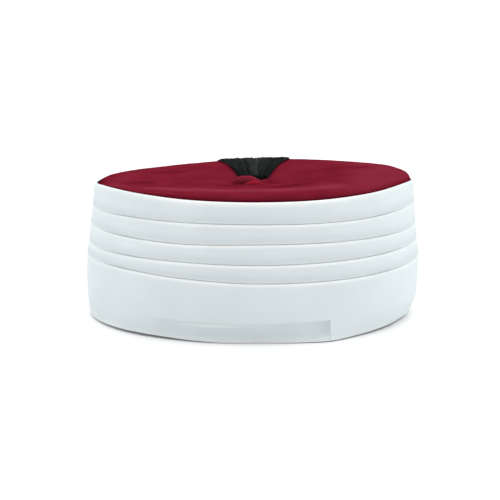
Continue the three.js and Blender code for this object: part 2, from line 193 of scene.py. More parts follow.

# Narrow creases in the crown, between two places to the right of the middle and ahead of it, which also get
# painted shade. Depth is a share of STREAK_DEPTH.
STREAKS = [
    dict(start=(15, 50), end=(35, 43), width=6.5, depth=0.95),
    dict(start=(30, 18), end=(45, 20), width=5.0, depth=0.6),
    dict(start=(53, -30), end=(68, -32), width=6.0, depth=0.8),
    dict(start=(-74, 19), end=(-65, 18), width=5.0, depth=0.9),
    dict(start=(-62, -30), end=(-47, -32), width=6.0, depth=0.7),
    dict(start=(-18, 37), end=(2, 40), width=9.0, depth=0.75),
]

# The felt puckered in front of the tassel: ridges and hollows, placed to the right and ahead of its middle.
PUCKERS = [
    dict(aside=-4.9, ahead=-1.6, across=9.2, deep=1.7, rise=5.2),
    dict(aside=-0.4, ahead=2.6, across=4.8, deep=1.5, rise=2.6),
    dict(aside=-5.4, ahead=1.3, across=5.0, deep=1.1, rise=-2.2),
    dict(aside=-3.4, ahead=6.4, across=8.0, deep=1.6, rise=-1.2),
    dict(aside=-12.0, ahead=0.5, across=2.4, deep=4.5, rise=-0.5),
    dict(aside=6.0, ahead=4.5, across=3.6, deep=1.8, rise=0.8),
    dict(aside=8.8, ahead=-4.4, across=5.4, deep=2.4, rise=3.1),
]

# Painted shade and painted highlights on the felt, with places to the right of the hat's middle and ahead of
# it. A pair is where a tone begins and where it is full.
RIM_SHADE = dict(above=2.2, before=2, beyond=1)
SHOULDER_SHADE = dict(tone=0.35, loss=0.3, aside=(5, 35), before=8)
ROOT_SHADE = dict(tone=0.9, aside=8, ahead=3, across=5, deep=4)
# Painted highlights across the crown's front and at its sides.
HIGHLIGHT_BAND = dict(tone=0.8, ahead=69.5, slant=0.09, bend=0.0047, width=8, loss=0.7, ending=(40, 62))
HIGHLIGHT_SIDES = [dict(tone=0.5, side=1, aside=(42, 70)), dict(tone=0.2, side=-1, aside=(50, 70))]
# Weights of the painted shade in creases and pinched hollows, and of the painted highlight on the pucker's
# ridges.
CREASE_TONE = 0.4
PUCKER_TONE = 0.35
PINCH_TONE = 1.7
# A painted highlight of bright red on the pucker's lip and ridge.
LIP_HIGHLIGHT = dict(aside=-0.5, width=4.5, rise=(0.2, 1.2), ahead=(NUB_SET - 0.5, NUB_SET + 1.5))
RIDGE_HIGHLIGHT = dict(tone=0.5, rise=(3.6, 4.6))

# Painted light and shade on the cloth. A pair for the sides is the two sines of the direction between which
# a tone fades.
CREST_HIGHLIGHT = dict(first_width=2.2, width=1.5, loss=0.7, sides=(0.3, 0.9))
# Painted light in the crevice just above the next crest, where shade falls.
CREVICE = dict(tone=0.85, width=1, loss=0.5, sides=(0.6, 0.85))
SHADE_ABOVE_CREST = dict(tone=1.4, height=7, power=1.4)
# Painted highlight along the hem's lower edge, against the shade by the floor.
EDGE_HIGHLIGHT = dict(width=2.6, loss=0.5, toward=32, spread=14)
STRIP_SHADE = dict(tone=0.42, corner_tone=1.1, corner_spread=8, above=4)


# Forms that the pieces share.


def smooth(value, start, end):
    share = np.clip((value - start) / (end - start), 0, 1)
    return share * share * (3 - 2 * share)


def mound(distance, width):
    return np.exp(-((distance / width) ** 2))


def blend(a, b, share):
    return a + (b - a) * share


def sin(degrees):
    return np.sin(np.radians(degrees))


def cos(degrees):
    return np.cos(np.radians(degrees))


def place(toward, radius, height):
    """Points of the hat from their directions, radii and heights. The hat leans a little to the right."""
    lean = HAT_LEAN * height / CAP_HEIGHT
    return np.stack(np.broadcast_arrays(radius * sin(toward) + lean, -radius * cos(toward), height), axis=-1)


def read_round(table, column, toward):
    """A column of a table, read along a smooth curve that closes round the hat."""
    turn = 360
    at = np.array(table["toward"], float)
    at = np.concatenate([at - turn, at, at + turn])
    value = np.tile(table[column], 3)
    slope = np.gradient(value, at)
    here = (toward + turn / 2) % turn - turn / 2
    k = np.searchsorted(at, here, side="right") - 1
    step = at[k + 1] - at[k]
    t = (here - at[k]) / step
    rise = slope[k] * t * (1 - t) ** 2 - slope[k + 1] * t * t * (1 - t)
    return blend(value[k], value[k + 1], t * t * (3 - 2 * t)) + rise * step


def read_straight(table, column, toward, softness=1.5):
    """A column of a table, read along straight lines whose corners are softened by a few degrees."""
    at = np.array(table["toward"], float)
    return np.mean(
        [np.interp(toward + softness * k / 2, at, table[column], period=360) for k in range(-2, 3)],
        axis=0,
    )


def relief(points, rise, size, seed):
    """Soft random relief at some points, with lumps of a rise and of three sizes, along X, Y and Z."""
    shift = np.array(SEED_SHIFT) * seed
    where = (points / np.array(size) + shift).reshape(-1, 3).tolist()
    return rise * np.array([noise.noise(Vector(p)) for p in where]).reshape(points.shape[:-1])


def crest_height(turn, toward):
    return WRAP_HEIGHT * read_round(CRESTS, TURNS[turn], toward)


def plain_wall(height):
    return RIM_RADIUS + FLARE * height / SHOULDER_START


def turn_inside(turn, height):
    return plain_wall(height) + GAP + turn * PLY_STEP


def turn_outside(turn, height):
    return turn_inside(turn, height) + CLOTH_FACE


def hem_radius(toward):
    return turn_outside(len(TURNS) - 1, 0) - HEM_TUCK * read_straight(HEM, "tuck", toward)


def felt_wall(toward, height):
    """The outside of the felt's wall, which gives way near the rim where the hem is tucked in far."""
    dent = np.maximum(0, plain_wall(0) - (hem_radius(toward) - HEM_TURN - GAP))
    return plain_wall(height) - dent * (1 - smooth(height, 0, TAIL_HEIGHT))


def crown_lift(toward, radius, height):
    """How much higher the crown is than if it were level."""
    share = smooth(height, SHOULDER_START - LIFT_START, CAP_HEIGHT - CROWN_SINK)
    out = radius / CROWN_RADIUS
    fall = smooth(-out * cos(toward), *FALL_RANGE)
    dip = mound(toward - DIP_TOWARD, DIP_SPREAD) * smooth(out, *DIP_RANGE)
    return share * (CROWN_RISE * sin(toward) * out - BACK_FALL * (fall + dip))


def crease_depth(toward, radius):
    """How deep the crown's creases are."""
    depth = 0
    for crease in CREASES:
        aside = radius * sin(toward - crease["toward"])
        along = radius * cos(toward - crease["toward"])
        beyond = along - np.clip(along, crease["start"] * CROWN_RADIUS, crease["end"] * CROWN_RADIUS)
        depth = depth + CREASE_DEPTH * crease["depth"] * mound(np.hypot(aside, beyond), CREASE_WIDTH)
    return depth


def streak_share(toward, radius):
    """How deep the crown's narrow creases are, as a share of STREAK_DEPTH."""
    here = np.stack(np.broadcast_arrays(radius * sin(toward), radius * cos(toward)), axis=-1)
    depth = 0
    for streak in STREAKS:
        start, end = np.array(streak["start"]), np.array(streak["end"])
        along = np.clip((here - start) @ (end - start) / ((end - start) @ (end - start)), 0, 1)
        away = np.linalg.norm(here - start - along[..., None] * (end - start), axis=-1)
        depth = depth + streak["depth"] * mound(away, streak["width"])
    return depth


def pucker_height(toward, radius, folds=PUCKERS):
    """How high the felt is puckered up, by some ridges and hollows."""
    height = 0
    for fold in folds:
        aside = (radius * sin(toward) - fold["aside"]) / fold["across"]
        ahead = (radius * cos(toward) - NUB_SET - fold["ahead"]) / fold["deep"]
        height = height + fold["rise"] * np.exp(-np.abs(aside) ** 3 - ahead**2)
    return height


def pinch_share(toward, radius):
    """The tight hollows of the pucker, as a share of its deepest."""
    hollows = [fold for fold in PUCKERS if fold["rise"] < 0]
    return pucker_height(toward, radius, hollows) / min(fold["rise"] for fold in hollows)


def crown_height(toward, radius):
    """The crown's outside: a high ring round a sunken middle, with creases and a pucker in front."""
    share = np.minimum(1, radius / (HIGH_RING * CROWN_RADIUS))
    sink = CROWN_SINK * (1 + np.cos(np.pi * share)) / 2
    fade = 1 - smooth(radius, CREASE_END * CROWN_EDGE, CROWN_EDGE)
    creases = crease_depth(toward, radius) + STREAK_DEPTH * streak_share(toward, radius)
    level = CAP_HEIGHT - sink - creases * fade + pucker_height(toward, radius)
    return level + crown_lift(toward, radius, level)


def shoulder_point(toward, radius, angle):
    """Radius and height on the crown's shoulder, where 90 degrees is its top and 0 its side."""
    out = CROWN_EDGE + radius * cos(angle)
    height = SHOULDER_START + radius * sin(angle)
    return out, height + crown_lift(toward, out, height)


# Meshes.


def add_mesh(name, points, faces, marks=None):
    """A smooth piece from points in millimetres. Marks are numbers for its points, by name."""
    mesh = bpy.data.meshes.new(name)
    mesh.from_pydata((points * MM).tolist(), [], faces)
    for mark, values in (marks or {}).items():
        mesh.attributes.new(mark, "FLOAT", "POINT").data.foreach_set("value", np.ravel(values))
    mesh.shade_smooth()
    mesh.validate()
    piece = bpy.data.objects.new(name, mesh)
    bpy.context.scene.collection.objects.link(piece)
    return piece


def add_skin(name, sections, poles=False, marks=None):
    """A closed skin from a ring of sections. With poles, all sections share their first and last point."""
    count, size = sections.shape[:2]
    index = np.arange(count * size).reshape(count, size)
    if poles:
        index[:, 0] = 0
        index[:, -1] = size - 1
    after = np.roll(index, -1, axis=0)
    quads = np.stack([index, after, np.roll(after, -1, axis=1), np.roll(index, -1, axis=1)], axis=-1)
    if poles:
        quads = quads[:, :-1]
    faces = [list(dict.fromkeys(quad)) for quad in quads.reshape(-1, 4).tolist()]
    piece = add_mesh(name, sections.reshape(-1, 3), faces, marks)
    if poles:
        drop_loose_points(piece.data)
    return piece


def drop_loose_points(mesh):
    work = bmesh.new()
    work.from_mesh(mesh)
    bmesh.ops.delete(work, geom=[v for v in work.verts if not v.link_faces], context="VERTS")
    work.to_mesh(mesh)
    work.free()


evenly_round = np.linspace(-180, 180, COLUMNS, endpoint=False)
at_corner = STRIP_RIGHT + np.linspace(-CORNER_HALF, CORNER_HALF, CORNER_COLUMNS)
away_from_corner = evenly_round[np.abs(evenly_round - STRIP_RIGHT) > CORNER_CLEAR]
directions = np.sort(np.concatenate([away_from_corner, at_corner]))[:, None]


def stations(start, end, count):
    """Stations of a section from one number or row of numbers to another, without the last one."""
    return start + (end - start) * np.linspace(0, 1, count, endpoint=False)[None, :]


# The felt cap.


def felt_section(toward):
    """The felt's section: crown, shoulder, wall, cut edge, and back up inside."""
    crown = np.concatenate([stations(0, FINE_MIDDLE, 46), stations(FINE_MIDDLE, CROWN_EDGE, 40)], axis=1)
    inner_crown = CROWN_EDGE * np.linspace(0, 1, 18)[None, ::-1]
    turn_over = stations(90, 0, 12)
    wall = stations(SHOULDER_START, CUT_ROUND, 8)
    edge = np.linspace(0, 90, 5)[None, :]
    outer_edge = felt_wall(toward, 0) - CUT_ROUND * (1 - cos(edge))
    inner_edge = felt_wall(toward, 0) - FELT + CUT_ROUND * (1 - cos(edge[:, ::-1]))
    sections = [
        (crown, crown_height(toward, crown)),
        shoulder_point(toward, SHOULDER, turn_over),
        (felt_wall(toward, wall), wall),
        (outer_edge, CUT_ROUND * (1 - sin(edge))),
        (inner_edge, CUT_ROUND * (1 - sin(edge[:, ::-1]))),
        (felt_wall(toward, wall[:, ::-1]) - FELT, wall[:, ::-1]),
        shoulder_point(toward, SHOULDER - FELT, stations(0, 90, 6)),
        (inner_crown, crown_height(toward, inner_crown) - FELT),
    ]
    return join_sections(toward, sections)


def join_sections(toward, sections):
    """The radii and heights of a whole section from those of its stretches."""
    parts = [np.broadcast_arrays(radius + 0 * toward, height + 0 * toward) for radius, height in sections]
    return np.hstack([p[0] for p in parts]), np.hstack([p[1] for p in parts])


def make_felt_cap():
    radius, height = felt_section(directions)
    points = place(directions, radius, height)
    on_crown = smooth(height, SHOULDER_START - SHOULDER, SHOULDER_START) * smooth(radius, *CALM_MIDDLE)
    for lumps in FELT_LUMPS:
        height = height + relief(points, **lumps) * on_crown
    marks = felt_marks(directions, radius, height)
    return add_skin("felt_cap_felt", place(directions, radius, height), poles=True, marks=marks)


def felt_marks(toward, radius, height):
    """Painted shade on the felt, below 0 where painted highlights make it pale, and where a painted
    highlight makes its red glow.
    """
    aside = radius * sin(toward)
    ahead = radius * cos(toward)
    pucker = pucker_height(toward, radius)
    # Painted shade in creases, streaks, pinched hollows, behind the wrap's edge and by the root; painted
    # highlights on ridges and bands take it below 0.
    felt_shade_and_highlight = CREASE_TONE * crease_depth(toward, radius) / CREASE_DEPTH + streak_share(toward, radius)
    felt_shade_and_highlight = felt_shade_and_highlight - PUCKER_TONE * pucker + PINCH_TONE * pinch_share(toward, radius)
    felt_shade_and_highlight = felt_shade_and_highlight + edge_shade(toward, radius, height, aside) + root_shade(aside, ahead)
    felt_shade_and_highlight = felt_shade_and_highlight - highlight_share(aside, ahead)
    # The glow mark is a painted highlight on the pucker's lip and ridge.
    return {"felt_shade_and_highlight": felt_shade_and_highlight, "glow": lip_highlight_share(aside, ahead, pucker)}


def edge_shade(toward, radius, height, aside):
    """Painted shade down behind the wrap's edge and over the shoulder, less so at the right."""
    rim = crest_height(0, toward)
    by_rim = smooth(height, rim + RIM_SHADE["above"], rim)
    by_rim = by_rim * smooth(radius, CROWN_EDGE - RIM_SHADE["before"], CROWN_EDGE + RIM_SHADE["beyond"])
    tone = SHOULDER_SHADE["tone"] - SHOULDER_SHADE["loss"] * smooth(aside, *SHOULDER_SHADE["aside"])
    return by_rim + tone * smooth(radius, CROWN_EDGE - SHOULDER_SHADE["before"], CROWN_EDGE)


def root_shade(aside, ahead):
    """Painted shadow at the right foot of the tassel's root."""
    away_aside = (aside - ROOT_SHADE["aside"]) / ROOT_SHADE["across"]
    away_ahead = (ahead - ROOT_SHADE["ahead"]) / ROOT_SHADE["deep"]
    return ROOT_SHADE["tone"] * mound(np.hypot(away_aside, away_ahead), 1)


def highlight_share(aside, ahead):
    """A painted highlight in a band that bends across the front of the crown, and painted highlights at its
    two sides.
    """
    band = HIGHLIGHT_BAND
    middle = band["ahead"] + band["slant"] * aside - band["bend"] * aside**2
    across = band["tone"] * mound(ahead - middle, band["width"])
    across = across * (1 - band["loss"] * smooth(aside, *band["ending"]))
    at_sides = sum(highlit_side["tone"] * smooth(highlit_side["side"] * aside, *highlit_side["aside"]) for highlit_side in HIGHLIGHT_SIDES)
    return np.maximum(across, at_sides)


def lip_highlight_share(aside, ahead, pucker):
    """A painted highlight of bright red at the pucker's lip and along its ridge."""
    lip = mound(aside - LIP_HIGHLIGHT["aside"], LIP_HIGHLIGHT["width"])
    lip = lip * smooth(pucker, *LIP_HIGHLIGHT["rise"]) * smooth(ahead, *LIP_HIGHLIGHT["ahead"])
    return np.maximum(lip, RIDGE_HIGHLIGHT["tone"] * smooth(pucker, *RIDGE_HIGHLIGHT["rise"]))


# The wrap.


def at_side(toward, sides=SIDES):
    return smooth(np.abs(sin(toward)), *sides)


def crest_section(turn, toward):
    """The fold at a turn's crest, from its inside over the top, flatter where the face above covers it."""
    angle = np.linspace(0, 180, 19)[None, :]
    top = crest_height(turn, toward)
    covered = at_side(toward) if turn else 0
    height = top - CREST * (1 - COVERED_LOSS * covered) * (1 - sin(angle))
    peak = blend(CREST_PEAK, COVERED_PEAK, covered)
    share = np.where(angle < 90, peak, 1 - peak)
    return turn_inside(turn, height) + CLOTH_FACE * (peak - share * cos(angle)), height


def belly(toward, height, top, bottom):
    """How far a face swells out between its crest and its lower end, or leans out at the sides."""
    share = np.clip((top - CREST - height) / (top - CREST - bottom), 0, 1)
    return blend(FACE_BELLY * np.sin(np.pi * share**BELLY_LOW), SIDE_LEAN * share, at_side(toward))


def turn_section(turn, toward):
    """A turn that the next one covers: inner side, crest, face, curl behind the next crest, covered ply."""
    top = crest_height(turn, toward)
    next_top = crest_height(turn + 1, toward)
    inner = stations(TAIL_HEIGHT, top - CREST, 6)
    face = stations(top - CREST, next_top + CURL_ABOVE, 12)[:, 1:]
    curl = np.linspace(0, 1, 18)[None, :]
    curl_height = next_top + blend(CURL_ABOVE, -CURL_BELOW, curl)
    face_out = CLOTH_FACE + belly(toward, face, top, next_top)
    power = CURL_POWER + SIDE_CURL_POWER * at_side(toward)
    curl_out = blend(CLOTH_FACE + belly(toward, curl_height, top, next_top), CLOTH_PLY, curl**power)
    ply = stations(next_top - CURL_BELOW, TAIL_HEIGHT, 5)[:, 1:]
    return join_sections(
        toward,
        [
            (turn_inside(turn, inner), inner),
            crest_section(turn, toward),
            (turn_inside(turn, face) + face_out, face),
            (turn_inside(turn, curl_height) + curl_out, curl_height),
            (turn_inside(turn, ply) + CLOTH_PLY, ply),
            (turn_inside(turn, TAIL_HEIGHT) + CLOTH_PLY, TAIL_HEIGHT),
        ],
    )


def on_strip(toward, height):
    """How far a place of the hem belongs to the inner ply that shows in front below the fold line."""
    from_left = smooth(toward, STRIP_LEFT - STRIP_FADE, STRIP_LEFT + STRIP_FADE)
    to_right = 1 - smooth(toward, STRIP_RIGHT - CORNER_FADE, STRIP_RIGHT)
    return from_left * to_right * smooth(height - HEM_FOLD, *STEP_RANGE)


def pressed_ridge(toward, height):
    """A short ridge that was pressed into the hem's inner ply, as a share of its rise."""
    away = height - HEM_FOLD + PRESSED_RIDGE["below"]
    along = toward - PRESSED_RIDGE["toward"]
    return mound(away, PRESSED_RIDGE["width"]) * mound(along, PRESSED_RIDGE["spread"])


def hem_step(toward, height):
    """How far the inner ply is set back."""
    return (STRIP_STEP - PRESSED_RIDGE["rise"] * pressed_ridge(toward, height)) * on_strip(toward, height)


def band_section(toward):
    """The lower band: inner side, crest, face, fold line, and the tucked hem turned under to the felt."""
    last = len(TURNS) - 1
    top = crest_height(last, toward)
    hem = hem_radius(toward)
    off_floor = read_straight(HEM, "off_floor", toward, 6)
    fold = turn_outside(last, HEM_FOLD)
    inner = stations(TAIL_HEIGHT, top - CREST, 6)
    skirt_start = HEM_FOLD + 1
    face = stations(top - CREST, skirt_start, 15)[:, 1:]
    swell = BAND_BELLY * belly(0, face, top, HEM_FOLD)
    skirt = blend(skirt_start, off_floor + EDGE_ROUND, stations(0, 1, 26) ** SKIRT_SPACING)
    drawn_in = blend(hem, fold, np.clip(skirt / HEM_FOLD, 0, 1) ** HEM_BEND) - hem_step(toward, skirt)
    hem = hem - hem_step(toward, 0)
    under = np.linspace(0, 90, 6)[None, :]
    felt = felt_wall(toward, 0) + GAP
    inside = stations(off_floor + HEM_TURN, HEM_FOLD, 6)
    inside_out = blend(hem, fold, inside / HEM_FOLD) - CLOTH_FACE
    inside_out = np.maximum(inside_out, felt_wall(toward, inside) + GAP)
    back_up = stations(HEM_FOLD, TAIL_HEIGHT, 4)
    risen = smooth(back_up, HEM_FOLD, TAIL_HEIGHT)
    back_out = blend(fold - CLOTH_FACE, turn_inside(last, TAIL_HEIGHT), risen)
    return join_sections(
        toward,
        [
            (turn_inside(last, inner), inner),
            crest_section(last, toward),
            (turn_outside(last, face) + swell, face),
            (drawn_in, skirt),
            (hem - EDGE_ROUND * (1 - cos(under)), off_floor + EDGE_ROUND * (1 - sin(under))),
            (blend(hem - EDGE_ROUND, felt, 0.5), off_floor),
            (felt, off_floor),
            (felt, off_floor + HEM_TURN / 2),
            (inside_out, inside),
            (back_out, back_up),
        ],
    )


def make_turn(turn):
    """One turn of the wrap, with the shallow long ripples of cloth that was wound by hand."""
    last = turn == len(TURNS) - 1
    radius, height = band_section(directions) if last else turn_section(turn, directions)
    points = place(directions, radius, height)
    shared = relief(points, **SHARED_RIPPLE) * smooth(height, 0, HEM_FOLD)
    own = sum(relief(points, wave["rise"], wave["size"], wave["seed"] + turn) for wave in OWN_RIPPLES)
    outer = smooth(radius - turn_inside(turn, height), RIPPLE_START * CLOTH_FACE, CLOTH_FACE)
    painted_highlight = crest_highlight_share(turn, directions, height)
    marks = band_marks(directions, height, painted_highlight) if last else turn_marks(turn, directions, height, painted_highlight)
    sections = place(directions, radius + shared + own * outer, height)
    return add_skin(TURNS[turn] + "_cloth", sections, marks=marks)


def crest_highlight_share(turn, toward, height):
    """A painted highlight along a turn's crest, less so toward the sides."""
    width = CREST_HIGHLIGHT["width"] if turn else CREST_HIGHLIGHT["first_width"]
    faded = 1 - CREST_HIGHLIGHT["loss"] * at_side(toward, CREST_HIGHLIGHT["sides"])
    return mound(crest_height(turn, toward) - height, width) * faded


def turn_marks(turn, toward, height, painted_highlight):
    """The painted tones of a turn: painted shade just above the next crest, and painted light in the crevice
    behind it.
    """
    next_top = crest_height(turn + 1, toward)
    # Painted light in the crevice.
    crevice = CREVICE["tone"] * mound(height - next_top, CREVICE["width"])
    crevice = crevice * (1 - CREVICE["loss"] * at_side(toward, CREVICE["sides"]))
    near = np.clip((next_top - height) / SHADE_ABOVE_CREST["height"] + 1, 0, 1)
    painted_shade = SHADE_ABOVE_CREST["tone"] * near ** SHADE_ABOVE_CREST["power"] * (1 - crevice / 2)
    return {"painted_highlight": np.maximum(painted_highlight, crevice), "painted_shade": painted_shade}


def band_marks(toward, height, painted_highlight):
    """The painted tones of the lower band: painted shade on its inner ply, and painted highlights on its
    lower edge and pressed ridge.
    """
    hem_ridge_highlight = PRESSED_RIDGE["tone"] * pressed_ridge(toward, height)
    faded = 1 - EDGE_HIGHLIGHT["loss"] * mound(toward - EDGE_HIGHLIGHT["toward"], EDGE_HIGHLIGHT["spread"])
    edge = mound(height, EDGE_HIGHLIGHT["width"]) * faded
    # Painted shade on the inner ply, darker toward the corner.
    by_corner = smooth(toward, STRIP_RIGHT - STRIP_SHADE["corner_spread"], STRIP_RIGHT)
    painted_shade = (STRIP_SHADE["tone"] + STRIP_SHADE["corner_tone"] * by_corner) * on_strip(toward, height)
    painted_shade = painted_shade * (1 - mound(height, STRIP_SHADE["above"]))
    return {"painted_highlight": np.maximum(np.maximum(painted_highlight, hem_ridge_highlight), edge), "painted_shade": painted_shade}


# The tassel.


def strand_lines(side):
    """Lines over the crown, its edge and the wrap. Side is a line's place across the fan, from -1 to 1."""
    side = side[:, None]
    root_half = ROOT_WIDTH / 2 * (1 - 1 / LOCK_COUNT)
    fan_half = FAN_WIDTH / 2 * (1 - 1 / LOCK_COUNT)
    edge_y = np.sqrt(CROWN_EDGE**2 - (fan_half * side) ** 2)
    rear = np.degrees(np.arctan2(side * fan_half, -edge_y))
    clear = 2 * GAP
    before_edge = 0.97
    share = np.linspace(0, before_edge, 16)[None, :]
    x = side * blend(root_half, fan_half, share**FAN_POWER)
    y = blend(ROOT_SET, edge_y, share)
    toward, radius = np.degrees(np.arctan2(x, -y)), np.hypot(x, y)
    over_crown = place(toward, radius, crown_height(toward, radius) + clear)
    shoulder_angles = np.array([[60, 35]])
    over_shoulder = place(rear, *shoulder_point(rear, SHOULDER + clear, shoulder_angles))
    rim = crest_height(0, rear)
    over_rim = place(rear, turn_inside(0, rim) + CLOTH_FACE / 2, rim + clear)
    down = []
    for turn in range(len(TURNS)):
        top = crest_height(turn, rear)
        lower = crest_height(turn + 1, rear) if turn + 1 < len(TURNS) else HEM_FOLD
        middle = (top + lower) / 2
        down.append(place(rear, turn_outside(turn, top) + clear, top - CREST / 4))
        down.append(place(rear, turn_outside(turn, middle) + FACE_BELLY + clear, middle))
    return np.concatenate([over_crown, over_shoulder, over_rim, *down], axis=1)


def evenly(lines, lengths, count):
    """Each line cut at its length and drawn again with evenly spaced points."""
    steps = np.linalg.norm(np.diff(lines, axis=1), axis=2)
    along = np.concatenate([np.zeros((len(lines), 1)), np.cumsum(steps, axis=1)], axis=1)
    even = np.empty((len(lines), count, 3))
    for k, length in enumerate(lengths):
        at = np.linspace(0, length, count)
        for axis in range(3):
            even[k, :, axis] = np.interp(at, along[k], lines[k, :, axis])
    for _ in range(2):
        even[:, 1:-1] = (even[:, :-2] + 2 * even[:, 1:-1] + even[:, 2:]) / 4
    return even


def headings(lines):
    """Level directions that point aside from each line's first stretch over the crown."""
    past_root = 12
    heading = lines[:, past_root] - lines[:, 0]
    heading[:, 2] = 0
    heading /= np.linalg.norm(heading, axis=1, keepdims=True)
    return np.stack([heading[:, 1], -heading[:, 0], 0 * heading[:, 0]], axis=-1)[:, None, :]


def waves(share, phase, reach, turns):
    return reach * np.sin(turns * share + phase)


def make_strands():
    """Loose silk strands in flat locks that spread from the root."""
    chance = np.random.default_rng(STRAND_SEED)
    lock = np.repeat(np.arange(LOCK_COUNT), STRANDS_IN_LOCK)
    aside_in_lock = chance.uniform(-1, 1, lock.size)
    layer = chance.uniform(0, 1, lock.size)
    side = 2 * lock / (LOCK_COUNT - 1) - 1 + aside_in_lock * LOCK_OVERLAP / (LOCK_COUNT - 1)
    shorter = LOCK_STAGGER * ((lock * STAGGER_STEP) % STAGGER_STAGES) / (STAGGER_STAGES - 1)
    lengths = TASSEL_LENGTH - shorter - chance.uniform(0, LOOSE_END, lock.size)
    lines = evenly(strand_lines(side), lengths, STRAND_POINTS)
    share = np.linspace(0, 1, STRAND_POINTS)[None, :]
    along = np.gradient(lines, axis=1)
    along /= np.linalg.norm(along, axis=2, keepdims=True)
    aside = headings(lines)
    up = np.cross(aside, along)
    thinned = np.clip(share * TASSEL_LENGTH / (THICK_END * (CROWN_EDGE - ROOT_SET)), 0, 1)
    thickness = blend(THICK_START * ROOT_HEIGHT, LOCK_THICKNESS, thinned)
    arch = blend(LOCK_EDGE, 1, np.sqrt(1 - aside_in_lock**2))
    lift = STRAND / 2 + (layer * arch)[:, None] * (thickness - STRAND)
    phase = chance.uniform(0, 2 * np.pi, (3, lock.size, 1))
    wander = sum(waves(share, phase[k], **wave) for k, wave in enumerate(WAVES_ASIDE))
    wander = wander * smooth(share, *ASIDE_RANGE)
    lift = lift + waves(share, phase[-1], **WAVE_UP) * smooth(share, *UP_RANGE)
    centre = lines + up * lift[:, :, None] + aside * wander[:, :, None]
    # Painted sheen, brightest on the strands near the fan's middle.
    bright = blend(DULL_SIDES, 1, mound(side - SHEEN_AT, SHEEN_WIDTH)[:, None])
    return add_tubes("tassel_strands", centre, aside, up, share, bright, chance)


def add_tubes(name, centre, aside, up, share, bright, chance):
    """Closed four-sided tubes round some lines, thinner toward their ends, joined in one mesh."""
    strands, count = centre.shape[:2]
    tapered = 1 - TIP_LOSS * smooth(share, TIP_START, 1)
    width = STRAND / 2 * tapered * chance.uniform(*STRAND_RANGE, (strands, 1))
    corners = []
    for angle in (0, 90, 180, 270):
        corners.append(centre + (aside * cos(angle) + up * sin(angle)) * width[:, :, None])
    points = np.stack(corners, axis=2)
    index = np.arange(strands * count * 4).reshape(strands, count, 4)
    here, there = index[:, :-1], index[:, 1:]
    quads = np.stack([here, there, np.roll(there, -1, axis=2), np.roll(here, -1, axis=2)], axis=-1)
    ends = np.concatenate([index[:, 0], index[:, -1, ::-1]])
    faces = np.concatenate([quads.reshape(-1, 4), ends]).tolist()
    # The painted sheen stands out more by the root, where the strands out of it are darker; a random tone is
    # mixed in.
    shine = blend(1, blend(DULL_ROOT, 1, bright), 1 - smooth(share, *ROOT_RANGE))
    tone = (chance.uniform(0, 1, (strands, 1)) ** 2 + bright) / 2 * shine
    tone = np.broadcast_to(tone[:, :, None], points.shape[:3])
    return add_mesh(name, points.reshape(-1, 3), faces, {"tone": tone})


def make_root():
    """The domed root that the strands are sewn down with, ribbed by the threads wound over it."""
    around = np.linspace(0, 360, 72, endpoint=False)[:, None]
    up = np.linspace(0, 90, 20)[None, :]
    rib = 1 + RIB_RISE * np.abs(sin(RIB_WAVES * around))
    out = cos(up) ** ROOT_DOME * rib
    seat = crown_height(180, ROOT_SET) + GAP
    x = HAT_LEAN * seat / CAP_HEIGHT + ROOT_WIDTH / 2 * out * sin(around)
    y = ROOT_SET - ROOT_DEPTH / 2 * out * cos(around)
    z = seat + (ROOT_HEIGHT - STRAND) * sin(up) + 0 * around
    dome = np.stack([x, y, z], axis=-1)
    middle = np.array([[[x.mean(), ROOT_SET, seat]]])
    foot = np.broadcast_to(middle, (len(around), 1, 3))
    return add_skin("tassel_root", np.concatenate([foot, dome], axis=1), poles=True)


# Materials.


class Wire:
    """A socket of a node tree. Python's operators on it add the Math nodes of the same name."""

    def __init__(self, finish, socket):
        self.finish = finish
        self.socket = socket

    def math(self, operation, *others):
        return self.finish.node("ShaderNodeMath", {"operation": operation}, dict(enumerate([self, *others])))

    def __add__(self, other):
        return self.math("ADD", other)

    def __sub__(self, other):
        return self.math("SUBTRACT", other)

    def __mul__(self, other):
        return self.math("MULTIPLY", other)

    def __rsub__(self, other):
        return self.finish.node("ShaderNodeMath", {"operation": "SUBTRACT"}, {0: other, 1: self})

    __radd__ = __add__
    __rmul__ = __mul__


class Finish:
    """A node tree under construction."""

    def __init__(self, tree):
        self.tree = tree
        tree.nodes.clear()

    def node(self, kind, settings=None, inputs=None, output=0):
        """A node with its settings, then its inputs' values or links. Returns one of its outputs."""
        made = self.tree.nodes.new(kind)
        for name, value in (settings or {}).items():
            setattr(made, name, value)
        for key, value in (inputs or {}).items():
            if isinstance(value, Wire):
                self.tree.links.new(value.socket, made.inputs[key])
            else:
                made.inputs[key].default_value = value
        return Wire(self, made.outputs[output]) if made.outputs else made

    def coordinates(self):
        return self.node("ShaderNodeTexCoord", output="Object")

    def separate(self, vector):
        return [self.node("ShaderNodeSeparateXYZ", None, {0: vector}, axis) for axis in range(3)]

    def combine(self, x, y, z):
        return self.node("ShaderNodeCombineXYZ", None, {0: x, 1: y, 2: z})

    def noise(self, vector, scale, detail=2.0, roughness=0.5, distortion=0.0):
        inputs = {"Vector": vector, "Scale": scale, "Detail": detail}
        inputs.update(Roughness=roughness, Distortion=distortion)
        return self.node("ShaderNodeTexNoise", None, inputs)

    def ramp(self, value, start, end):
        """The value as a share of the way from start to end."""
        return self.node("ShaderNodeMapRange", {"clamp": True}, {0: value, 1: start, 2: end})

    def mix(self, share, first, second):
        """Two colours mixed."""
        return self.node("ShaderNodeMix", {"data_type": "RGBA"}, {0: share, 6: first, 7: second}, 2)

    def attribute(self, name):
        return self.node("ShaderNodeAttribute", {"attribute_name": name}, None, "Fac")

    def bump(self, height, distance, strength=1.0, below=None):
        inputs = {"Height": height, "Distance": distance, "Strength": strength}
        if below:
            inputs["Normal"] = below
        return self.node("ShaderNodeBump", None, inputs)


